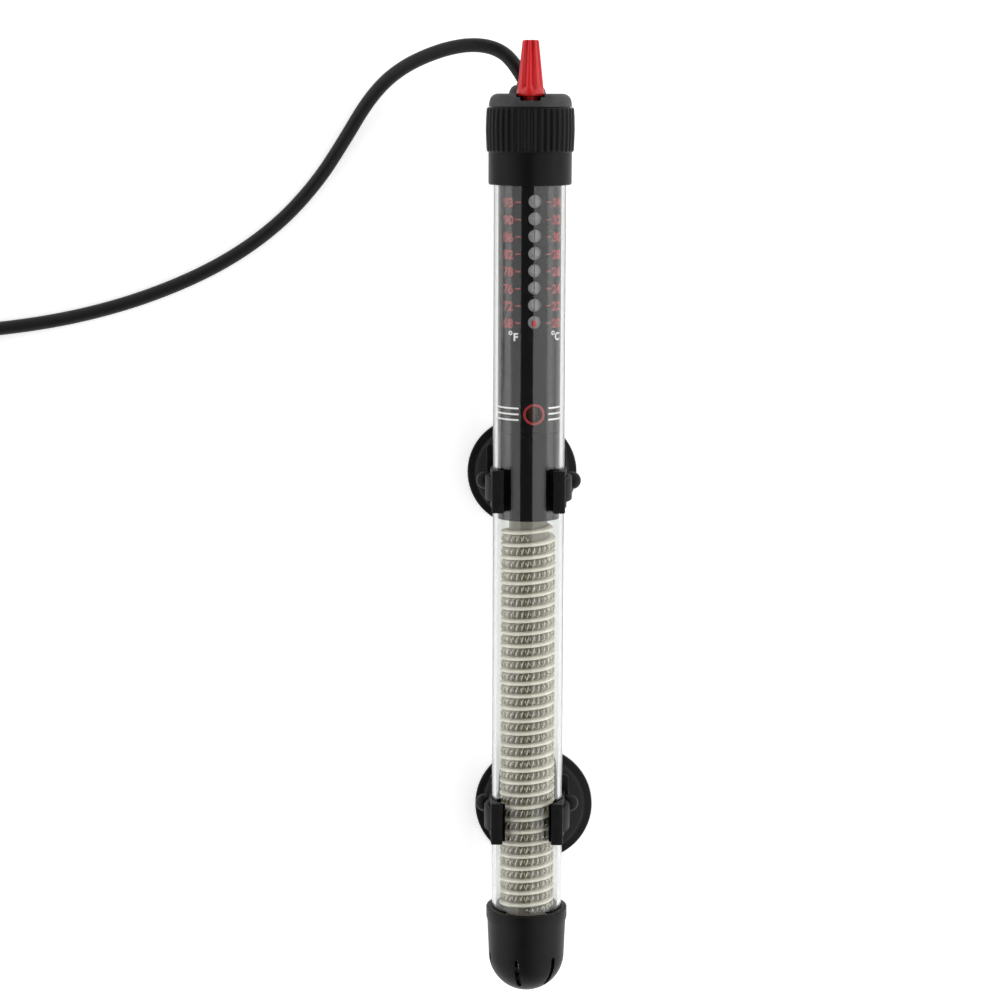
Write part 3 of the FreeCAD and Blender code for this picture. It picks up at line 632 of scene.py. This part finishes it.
FAHRENHEIT = ("93", "90", "86", "82", "78", "76", "72", "68")
CELSIUS = ("34", "32", "30", "28", "26", "24", "22", "20")
NUMBER_SIZE, UNIT_SIZE = 4.1, 3.6
red_marks = [ring(0, LAMP, 2.72, 3.5)]
for station, left, right in zip(WINDOWS, FAHRENHEIT, CELSIUS):
    red_marks += [lettered(left, NUMBER_SIZE, -9.1, station + 0.6, 0.14),
                  lettered(right, NUMBER_SIZE, 8.1, station + 0.6, 0.14),
                  bar(-6.3, -4.6, station + 0.25, 0.45), bar(3.8, 5.5, station + 0.25, 0.45)]
printed("red_scale", "print_red", red_marks)
white_marks = [lettered("F", UNIT_SIZE, -6.2, 79.3, 0.1), lettered("C", UNIT_SIZE, 8.6, 79.3, 0.1),
               ring(-8.0, 77.9, 0.38, 0.72), ring(6.6, 77.9, 0.38, 0.72)]
# Three lines that run round the back of the sleeve, from one side of the lamp's window to the other
for station in (102.75, 104.7, 106.6):
    white_marks.append(bar(4.9, 2 * math.pi * SLEEVE - 5.05, station, 0.55))
printed("white_scale", "print_white", white_marks)

COIL_PITCH = 4.30


def along_helix(angle, start, radius, first_angle):
    """Point on the former's helix. It starts at a station and an angle from the front, in
    radians, and turns towards -X as the angle swept grows."""
    direction = first_angle - angle
    station = start + COIL_PITCH * angle / (2 * math.pi)
    return at(station, radius * math.sin(direction), radius * math.cos(direction))


def solid_through(built, rows):
    """Closed solid through rows of points, the first and last row as its ends."""
    for low, high in zip(rows, rows[1:]):
        bridged(built, low, high)
    built.faces.new(rows[0])
    built.faces.new(rows[-1])


def make_former():
    """Ceramic core with its two flanges and the rounded rib that the coil lies between."""
    built = bmesh.new()
    core = [(140.5, 2.0), (140.5, 6.5), (281.0, 6.5), (281.0, 9.4), (282.0, 9.4), (282.0, 2.0)]
    lathed(built, softened(core, 0.3, True), at(0), -Y, Z, steps=80)
    turns, steps, first_station = 31, 72, 143.5
    foot = 6.2
    side = [(0.75, foot), (0.62, 7.4), (0.52, 8.9), (0.36, 9.24)]
    section = [(-offset, radius) for offset, radius in side] + [(0, 9.4)] + side[::-1]
    rows = []
    for step in range(turns * steps + 1):
        angle = 2 * math.pi * step / steps
        ending = min(1.0, step / 6, (turns * steps - step) / 6)
        rows.append([
            built.verts.new(along_helix(angle, first_station + offset,
                                        foot + (radius - foot) * (0.25 + 0.75 * ending), math.pi / 2))
            for offset, radius in section
        ])
    solid_through(built, rows)
    return bpy.data.objects.new("ribbed_ceramic", finished_mesh("ribbed_ceramic", built))


def make_wire_coil():
    """Fine wire wound into a spring that itself winds round the ceramic core."""
    built = bmesh.new()
    turns, first_station = 30, 146.725
    centre_radius, wind_radius, wire_radius = 8.0, 1.1, 0.26
    winds, around, sides = 30, 12, 5
    total = turns * winds * around
    along = -Y
    rows = []
    for step in range(total + 1):
        angle = 2 * math.pi * step / (winds * around)
        wind = 2 * math.pi * step / around
        size = wind_radius if 3 * around < step < total - 3 * around else 0.85 * wind_radius
        outwards = Vector((-math.sin(angle), 0, math.cos(angle)))
        forward = Vector((-math.cos(angle), 0, -math.sin(angle)))
        centre = along_helix(angle, first_station, centre_radius + size * math.cos(wind), 0.0)
        centre += along * size * math.sin(wind)
        across = outwards * math.cos(wind) + along * math.sin(wind)
        round_wind = (along * math.cos(wind) - outwards * math.sin(wind)) * wind_radius * 2 * math.pi / around
        round_core = forward * centre_radius * 2 * math.pi / (winds * around)
        second = (round_wind + round_core).normalized().cross(across).normalized()
        rows.append([
            built.verts.new(centre + (across * math.cos(2 * math.pi * side / sides)
                                      + second * math.sin(2 * math.pi * side / sides)) * wire_radius)
            for side in range(sides)
        ])
    solid_through(built, rows)
    return bpy.data.objects.new("wound_wire", finished_mesh("wound_wire", built, sharp=False))


keep(make_former(), "ivory_ceramic", "heater", ("ceramic_former",))
keep(make_wire_coil(), "resistance_wire", "heater", ("heating_coil",))


# ---------------------------------------------------------------- knob, cap, collar, end cap
OUTLET_BASE = cord_exit - OUTLET * 9.5


def knob_wave(angle, station, radius):
    """Eight round flutes that fade out above the base."""
    flutes_end, fade_length = -1.3, 0.7
    if radius < 2.3 or station > flutes_end:
        return radius
    fade = min(1.0, (flutes_end - station) / fade_length) * min(1.0, (radius - 2.2) / 0.4)
    direction = angle - math.radians(8.0)
    groove = (0.5 - 0.5 * math.cos(8 * direction)) ** 2.0
    return radius - 0.85 * fade * groove


knob_side = [(-KNOB_LENGTH, 0), (-KNOB_LENGTH, 1.9), (-17.15, 2.3), (-16.95, 2.58), (-16.6, 2.72)]
knob_side += [(-16.6 + 15.4 * step / 14, 2.72 + 1.6 * step / 14) for step in range(1, 15)]
knob_side += [(-0.75, 4.42), (-0.5, 4.52), (-0.2, 4.55), (0.5, 4.55), (0.75, 4.42), (0.82, 4.2), (0.85, 2.6),
              (2.1, 2.5), (2.15, 2.4), (2.15, 1.5), (-12.0, 1.5), (-12.0, 0)]
keep(coaxial("fluted_knob", knob_side, rise=SPINDLE_RISE, closed=False, steps=128, wave=knob_wave),
     "red_plastic", "dial", ("temperature_knob",))


def round_tool(name, outline, side=0.0, rise=SPINDLE_RISE, steps=96):
    """Turned solid along the tube's direction, to cut with or to join."""
    return coaxial(name, outline, side, rise, closed=False, steps=steps)


def make_cap_crown():
    """Cap with its rounded shoulder, the boss of the cord's outlet and the recess for the knob's foot."""
    top = [(0, 0), (0, 10.6), *arc(2.9, 10.6, 2.9, 176, 94, 10), (3.5, 13.6), (4.2, 13.7), (4.26, 13.6),
           (4.26, 12.95)]
    low = [(23.5, 12.95), (23.5, 12.1), (8.1, 12.1), (8.1, 0)]
    body = coaxial("cap_crown", top + softened(low, 0.2, False), closed=False, steps=160)
    boss_rise = -6.5
    dome = [(-3.1, 0), (-3.1, 2.6), (-3.0, 3.3), (-2.65, 4.4), (-2.0, 5.3), (-1.0, 5.9), (0.0, 6.15),
            (1.0, 6.2), (1.0, 0)]
    body = combined(body, [round_tool("boss", dome, -1.0, boss_rise)], "UNION")
    recess = [(-1.0, 0), (-1.0, 4.75), (1.0, 4.75), (1.15, 4.6), (1.2, 3.5), (2.2, 3.4), (2.3, 3.2), (2.3, 0)]
    above_knob = at(0, 0, SPINDLE_RISE + 4.0)
    return combined(body, [
        round_tool("recess", recess),
        slab("mouth", [rounded_box((-4.65, -1.15), (4.65, 1.15), 0.2)], 8.0, above_knob, X, Y, 0.02),
        slab("foot_mouth", [rounded_box((-3.4, -2.3), (3.4, 1.0), 0.6)], 8.0, above_knob, X, Y, 0.02),
        round_tool("bearing", [(2.0, 0), (2.0, BEARING), (9.0, BEARING), (9.0, 0)], steps=40),
        round_tool("seal_seat", [(6.2, 0), (6.2, 3.3), (9.0, 3.3), (9.0, 0)], steps=48),
        round_tool("lead_hole", [(3.0, 0), (3.0, 2.2), (9.0, 2.2), (9.0, 0)], 2.5, boss_rise, steps=40),
        turned("outlet_seat", [(-0.02, 0), (-0.02, 3.32), (14.0, 3.32), (14.0, 0)], OUTLET_BASE, OUTLET, Z,
               closed=False, steps=64),
    ])


keep(make_cap_crown(), "black_cap_painted_light", "heater", ("cap_body",))


def collar_wave(angle, station, radius):
    """Forty rounded ribs on the knurled part."""
    knurl_start, knurl_end = 4.6, 18.9
    if radius < 14.05 or not knurl_start < station < knurl_end:
        return radius
    ends = min(1.0, (station - knurl_start) / 0.7, (knurl_end - station) / 0.7)
    groove = (0.5 + 0.5 * math.cos(40 * angle)) ** 1.5
    return radius - 0.5 * ends * groove


collar_side = [(4.4, 13.0), (4.4, 13.85), (4.5, 14.05), (4.7, 14.25), (5.0, 14.36), (5.4, 14.42),
               (7.5, 14.55), (11.65, 14.65), (15.8, 14.52), (17.9, 14.41), (18.3, 14.38), (18.6, 14.3),
               (18.8, 14.15), (18.95, 14.0), (19.05, 13.85), (19.1, 13.75), (29.0, 13.75), (29.45, 13.62),
               (29.66, 13.25), (29.66, 12.15), (27.46, 12.15), (27.46, 13.0)]
keep(coaxial("knurled_collar", collar_side, steps=480, wave=collar_wave), "black_collar", "heater",
     ("cap_collar",))


def make_end_cap():
    """Guard over the tube's round end, with six slots round its dome."""
    rim, radius, bore = 276.2, 12.95, 12.1
    dome_centre = CAP_TOP + 161.55 - radius
    bore_centre = dome_centre - 0.8
    skirt = [(rim, bore), (rim, 13.85), (279.8, 13.85), (281.2, 13.44), (dome_centre, radius)]
    outside = softened(skirt, 0.35, False)
    outside += arc(dome_centre, 0, radius, 86, 4, 20) + [(dome_centre + radius, 0)]
    inside = [(bore_centre + bore, 0)] + arc(bore_centre, 0, bore, 4, 86, 18) + [(rim, bore)]
    cap = coaxial("end_guard", outside + inside, closed=False, steps=128)
    cutters = []
    for index in range(6):
        outline = rounded_box((-0.8, -dome_centre - 9.6), (0.8, -dome_centre + 1.0), 0.78)
        cutter = slab("slot", [outline], 10.0, above_tube, X, Y, 0.02)
        cutter.data.transform(about_axis(-14.5 + 60 * index))
        cutters.append(cutter)
    return combined(cap, cutters)


keep(make_end_cap(), "black_plastic", "heater", ("bottom_cap",))


# ---------------------------------------------------------------- suction-cup holders
PIN_RISE = -15.5                                     # height of the clip's pin above the axis
PLATE_HEIGHT = 8.7                                   # height of the plate's middle above the surface
EAR_HEIGHT = 13.5                                    # height of the pin's holes in the plate's ears
CUP_REACHES = {"upper": 1.05, "lower": 3.85}         # the cups' distances from their pins
CUP_ASIDE = -2.3                                     # and their offset from the plate's middle


def make_clip(place, station):
    """Open band with two jaws that grip the glass and two knuckles that hold the pin."""
    band = arc(0, 0, 14.6, 55.8, -235.8, 90) + arc(0, 0, 12.85, -230.3, 50.3, 90)
    base = slab("spring_clip_" + place, [band], 8.0, at(station), X, Z, 0.45)
    tip = [(11.62, 5.5), (11.95, 5.5), (12.2, 5.8), (12.2, 11.5), (12.05, 12.05), (11.5, 12.3), (8.9, 12.3),
           (8.35, 12.1), (8.2, 11.6), (8.2, 9.9)]
    knuckle = arc(0, PIN_RISE, 3.0, 0, -180, 24) + [(-3.0, -12.2), (3.0, -12.2)]
    parts = []
    for side in (-1, 1):
        jaw = [(side * x, y) for x, y in tip + arc(0, 0, 12.85, 50.3, 25.4, 8)[1:-1]]
        parts.append(slab("jaw", [jaw], 14.2, at(station), X, Z, 0.4))
        parts.append(slab("knuckle", [knuckle], 1.7, at(station, side * 8.35), Y, Z, 0.25))
    return combined(base, parts, "UNION")


def make_cup(place, radius, centre):
    """Suction cup: flat lip, rim band, two steps, neck and the button that holds it in the plate."""
    side = [(0, radius - 1.2), (0, radius - 0.25), (0.25, radius), (1.15, radius), (1.45, radius - 0.35),
            (1.62, radius - 1.9), (1.75, radius - 2.8), (2.3, radius - 3.2), (2.75, radius - 4.2),
            (3.3, radius - 6.6), (3.55, radius - 7.2), (4.05, radius - 7.6), (4.5, radius - 8.6), (6.2, 6.9),
            (7.1, 6.2), (7.35, 5.6), (7.35, 3.2), (10.05, 3.2), (10.05, 4.3), (10.7, 4.3), (11.5, 3.6),
            (11.9, 2.6)]
    hollow = [(3.4, 0), (3.33, radius * 0.15), (3.1, radius * 0.32), (2.5, radius * 0.52),
              (1.6, radius * 0.71), (0.7, radius * 0.86), (0, radius - 1.2)]
    return turned("cup_" + place + "_rubber", softened(side, 0.3, False) + [(11.9, 0)] + hollow, centre, Z, X,
                  closed=False, steps=112)


def make_pin(place, station):
    """Pin with two ball ends."""
    side = [(-17.9, 0), *arc(-14.9, 0, 3.0, 176, 90, 12), (-13.7, 3.0), (-13.7, 1.5),
            (13.7, 1.5), (13.7, 3.0), *arc(14.9, 0, 3.0, 90, 4, 12), (17.9, 0)]
    return turned("hinge_pin_" + place, softened(side, 0.15, False), at(station, 0, PIN_RISE), X, Y,
                  closed=False, steps=56)


def make_plate(place):
    """Plate with the long slot for the cup's neck, and the two ears that hang on the pin."""
    slot = arc(CUP_ASIDE, CUP_REACHES["lower"], 3.45, 0, 180, 20)
    slot += arc(CUP_ASIDE, CUP_REACHES["upper"], 3.45, 180, 360, 20)
    plate = slab("hinged_plate_" + place, [rounded_box((-14.5, -9.0), (12.9, 12.0), 1.6), slot], 2.2,
                 Z * PLATE_HEIGHT, X, Y, 0.35)
    ear = arc(0, EAR_HEIGHT, 4.0, 0, 180, 24) + [(-4.0, 9.0), (4.0, 9.0)]
    hole = circle((0, EAR_HEIGHT), BEARING, 32)
    ears = [slab("ear", [ear, hole], 1.8, X * middle, Y, Z, 0.25) for middle in (-12.3, 10.7)]
    return combined(plate, ears, "UNION")


# Station, how far the plate is turned round, and the cup's radius; the lower holder faces the other way
for place, station, turn, cup_radius in (("upper", 130.5, 0, 18.9), ("lower", 244.2, 180, 20.6)):
    way = 1 if turn == 0 else -1
    keep(make_clip(place, station), "black_clip", "clip_" + place, ("tube_clip_" + place,))
    cup_centre = Vector((CUP_ASIDE * way, CAP_TOP - station + CUP_REACHES[place] * way, 0))
    keep(make_cup(place, cup_radius, cup_centre), "cup_rubber", "cup_" + place, ("suction_cup_" + place,))
    keep(make_pin(place, station), "black_plastic", "clip_" + place, ("clip_pin_" + place,))
    plate = make_plate(place)
    plate.data.transform(Matrix.Translation((0, (CAP_TOP - station) * MM, 0))
                         @ Matrix.Rotation(math.radians(turn), 4, "Z"))
    keep(plate, "black_plastic", "carrier_" + place, ("cup_carrier_" + place,))


# ---------------------------------------------------------------- plug and cord fittings
BODY_LENGTH, BODY_HALF_WIDTH = 24.0, 9.5
plug_start = plug_entry - Y * 12.0                   # where the body begins under the ribbed relief


def make_plug():
    """Moulded plug: tapered ribbed relief, rounded body with finger grips."""
    outline = rounded_box((-BODY_HALF_WIDTH, -BODY_LENGTH), (BODY_HALF_WIDTH, 0.0), 2.6)
    body = slab("moulded_plug", [outline], 13.0, plug_start, X, Y, 2.2)
    grip = [(-4.5, 0), (-4.5, 0.65), (4.5, 0.65), (4.5, 0)]
    grips = [
        turned("grip", grip, plug_start + Vector((edge * 9.75, -7.5 - 3.0 * step, 0)), Z, X,
               closed=False, steps=20)
        for edge in (-1, 1) for step in range(4)
    ]
    body = combined(body, grips)
    relief = [(0, 2.5), (0, 2.9)]
    for step in range(5):
        start = 0.9 + 2.2 * step
        size = 3.05 + 0.33 * step
        relief += [(start, size), (start + 1.3, size + 0.15), (start + 1.3, size - 0.45),
                   (start + 2.2, size - 0.35)]
    relief += [(12.4, 4.6), (13.0, 4.6), (13.0, 2.5)]
    return joined("moulded_plug", [body, turned("relief", relief, plug_entry, -Y, X, soft=0.12, steps=48)])


def make_blades():
    """Two flat blades with a hole near the tip and bevelled corners."""
    half_width = 3.175
    outline = [(-half_width, 0), (-half_width, 14.6), (-1.9, 16.0), (1.9, 16.0), (half_width, 14.6),
               (half_width, 0)]
    root = plug_start - Y * BODY_LENGTH
    return joined("contact_blades", [
        slab("blade", [outline, circle((0, 12.0), 1.55, 28)], 1.5, root + X * side, Z, -Y, 0.15)
        for side in (-6.35, 6.35)
    ])


def make_tie():
    """Strap round the stored turns, with its lock and the free end pulled through it."""
    inner, outer = INNER_TURN - CORD_RADIUS - 0.1, OUTER_TURN + CORD_RADIUS + 0.1
    top = 2 * CORD_RADIUS + 3 * LAYER + 0.1
    around = [rounded_box((inner - 0.7, 0), (outer + 0.7, top + 0.7), 2.6),
              rounded_box((inner, 0.5), (outer, top), 2.2)]
    strap = slab("coil_tie", around, 4.0, coil_centre, X, Z, 0.15)
    lock = slab("lock", [rounded_box((outer + 0.45, 9.6), (outer + 3.1, 13.2), 0.5)], 3.9,
                coil_centre, X, Z, 0.3)
    strip = [(outer + 2.6, 11.05), (outer + 5.2, 11.0), (outer + 7.6, 10.6), (outer + 7.65, 11.2),
             (outer + 5.2, 11.7), (outer + 2.6, 11.75)]
    free_end = slab("free_end", [strip], 3.2, coil_centre, X, Z, 0.1)
    return combined(strap, [lock, free_end], "UNION")


plug = keep(make_plug(), "plug_plastic", "heater", ("plug_body",))
contacts = keep(make_blades(), "plug_brass", "heater", ("plug_blades",))
outlet_side = [(0, 0), (0, 3.3), (7.0, 3.3), (7.4, 3.2), (7.7, 2.95), (8.3, 2.9), (8.6, 3.0), (9.2, 2.85),
               (9.5, 2.7), (9.5, 0)]
sleeved = turned("cord_outlet", outlet_side, OUTLET_BASE, OUTLET, Z, soft=0.12, closed=False, steps=56)
cord_outlet = keep(sleeved, "cord_jacket", "heater", ("cord_strain_relief",))
tie = keep(make_tie(), "black_rubber", "heater", ("cord_tie",))


# ---------------------------------------------------------------- studio, in metres
FLOOR_RADIUS, BEND_RADIUS, WALL_TOP = 1.6, 0.8, 1.3
FLOOR_GLOW = 0.47
PANEL_DISTANCE, PANEL_LENGTH = 0.95, 2.0
AIR_STRENGTH = 0.06


def make_stage():
    """Pale floor that curves up into a low round wall."""
    wall = FLOOR_RADIUS + BEND_RADIUS
    profile = [(WALL_TOP, wall), *arc(BEND_RADIUS, FLOOR_RADIUS, BEND_RADIUS, 90, 180, 12), (0, 0)]
    built = bmesh.new()
    lathed(built, profile, Vector((0, 0, 0)), Z, X, closed=False)
    floor = bpy.data.objects.new("studio_floor", mesh_from("studio_floor", built, sharp=False))
    bpy.context.scene.collection.objects.link(floor)
    nodes = new_nodes("studio_floor")
    nodes.settle(Base_Color=(0.9, 0.9, 0.9, 1), Roughness=0.8, Specular_IOR_Level=0.0,
                 Emission_Color=(1, 1, 1, 1), Emission_Strength=FLOOR_GLOW)
    floor.data.materials.append(nodes.material)


def soft_box(name, start_angle, end_angle, radiance):
    """Long panel beside the tube between two angles from overhead, lit face towards the tube."""
    start, end = [
        Vector((math.sin(math.radians(angle)), 0, math.cos(math.radians(angle)))) * PANEL_DISTANCE
        for angle in (start_angle, end_angle)
    ]
    light = bpy.data.lights.new(name, "AREA")
    light.shape = "RECTANGLE"
    light.size = (end - start).length
    light.size_y = PANEL_LENGTH
    light.energy = radiance * math.pi * light.size * light.size_y
    lamp = bpy.data.objects.new(name, light)
    bpy.context.scene.collection.objects.link(lamp)
    side = (end - start).normalized()
    back = ((start + end) / 2).normalized()
    up = back.cross(side).normalized()
    centre = (start + end) / 2 + Z * AXIS * MM
    lamp.matrix_world = Matrix.Translation(centre) @ Matrix((side, up, side.cross(up))).transposed().to_4x4()
    lamp.visible_camera = False


make_stage()
soft_box("soft_box_left", -27.6, -86.0, 1.0)
soft_box("soft_box_right", 12.8, 86.0, 1.25)

world = bpy.data.worlds.new("studio_air")
world.use_nodes = True
background = world.node_tree.nodes["Background"]
background.inputs["Color"].default_value = (1, 1, 1, 1)
background.inputs["Strength"].default_value = AIR_STRENGTH
scene = bpy.context.scene
scene.world = world
scene.view_settings.view_transform = "Standard"

CAMERA_HEIGHT = 850.0                                # millimetres above the tube's axis
camera_data = bpy.data.cameras.new("photo_camera")
camera_data.lens = 92.1
camera_data.sensor_width = 36.0
camera_data.clip_start = 0.01
camera = bpy.data.objects.new("photo_camera", camera_data)
scene.collection.objects.link(camera)
camera.location = at(0, 0, CAMERA_HEIGHT) * MM
camera.rotation_euler = [math.radians(angle) for angle in (-9.03, 0.663, 0.187)]
scene.camera = camera
